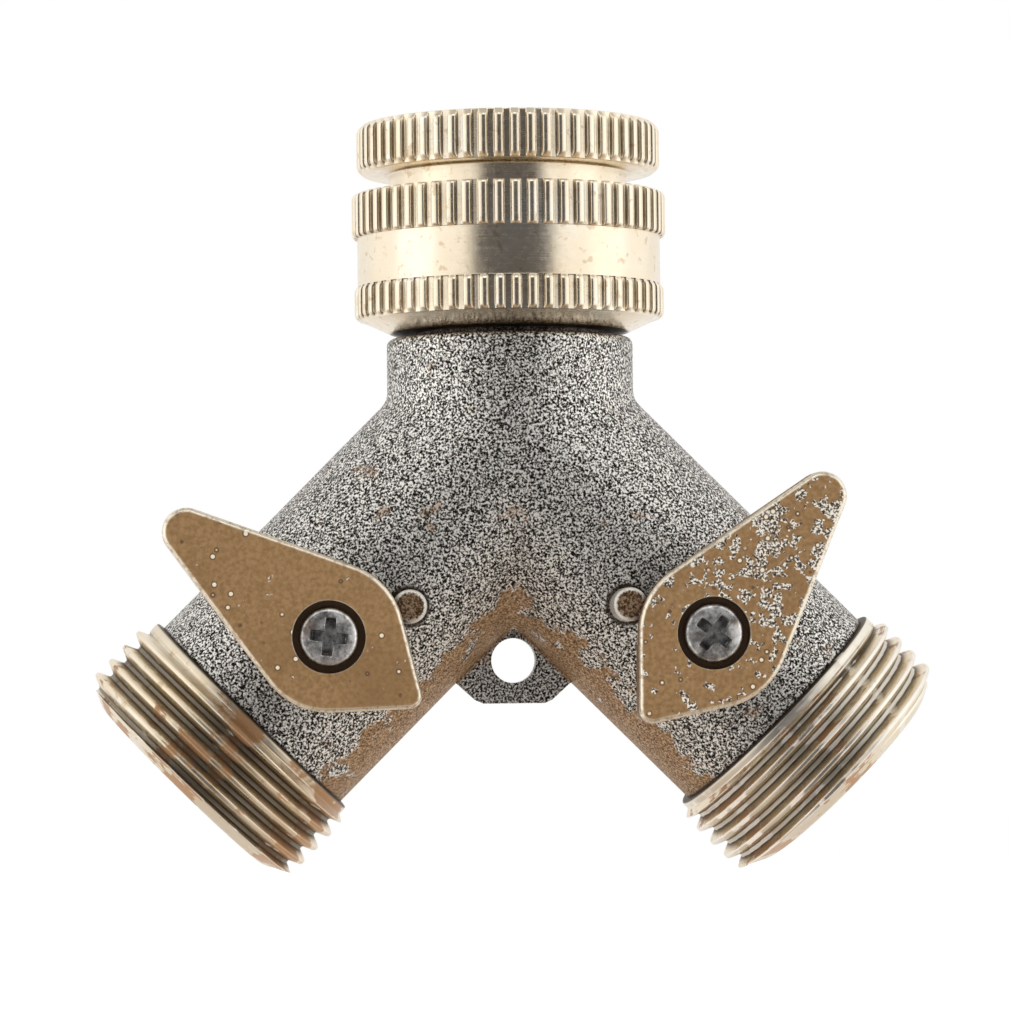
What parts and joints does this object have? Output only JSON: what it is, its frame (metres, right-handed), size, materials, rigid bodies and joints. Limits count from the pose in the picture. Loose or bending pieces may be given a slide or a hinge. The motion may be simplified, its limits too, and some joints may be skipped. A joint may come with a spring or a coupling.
{
  "type": "hose splitter",
  "caption": "Brass two-way hose splitter with a swivel threaded inlet, threaded outlets and a ball valve with its own lever in each leg.",
  "frame": {"origin": "centre of the inlet thread's mouth, in the rim's plane", "axes": "+Z out of the inlet along the swivel axis, +X towards the right-hand outlet, -Y towards the side with the levers"},
  "size_m": [0.0788, 0.0328, 0.0704],
  "materials": {
    "body_brass": "sandblasted casting",
    "nut_brass": "polished",
    "bush_brass": "polished",
    "outlet_brass": "turned",
    "lever_brass": "matte bronze",
    "screw_steel": "nickel plated",
    "ball_chrome": "plated",
    "stem_brass": "turned",
    "seal_rubber": "matte",
    "washer_rubber": "matte",
    "ring_steel": "spring steel",
    "seat_plastic": "smooth fluoropolymer"
  },
  "bodies": {
    "body": {"valve_body": "body_brass", "left_outlet_nipple": "outlet_brass", "right_outlet_nipple": "outlet_brass", "left_inner_seat": "seat_plastic", "left_outer_seat": "seat_plastic", "right_inner_seat": "seat_plastic", "right_outer_seat": "seat_plastic", "left_thrust_washer": "seat_plastic", "right_thrust_washer": "seat_plastic", "swivel_snap_ring": "ring_steel"},
    "nut": {"swivel_nut": "nut_brass", "inlet_adapter": "bush_brass", "swivel_washer": "seal_rubber", "inlet_washer": "washer_rubber"},
    "left_valve": {"left_lever": "lever_brass", "left_lever_screw": "screw_steel", "left_stem": "stem_brass", "left_stem_orings": "seal_rubber", "left_ball": "ball_chrome"},
    "right_valve": {"right_lever": "lever_brass", "right_lever_screw": "screw_steel", "right_stem": "stem_brass", "right_stem_orings": "seal_rubber", "right_ball": "ball_chrome"}
  },
  "joints": [
    {"name": "nut_swivel", "type": "hinge", "parent": "nut", "child": "body", "pos_m": [0, 0, -0.0188], "axis": [0, 0, 1], "continuous": true},
    {"name": "left_lever_turn", "type": "hinge", "parent": "body", "child": "left_valve", "pos_m": [-0.01747, -0.0159, -0.04847], "axis": [0, -1, 0], "range_deg": [-98.1, 1.9]},
    {"name": "right_lever_turn", "type": "hinge", "parent": "body", "child": "right_valve", "pos_m": [0.01747, -0.0159, -0.04847], "axis": [0, -1, 0], "range_deg": [-15.8, 84.2]}
  ]
}
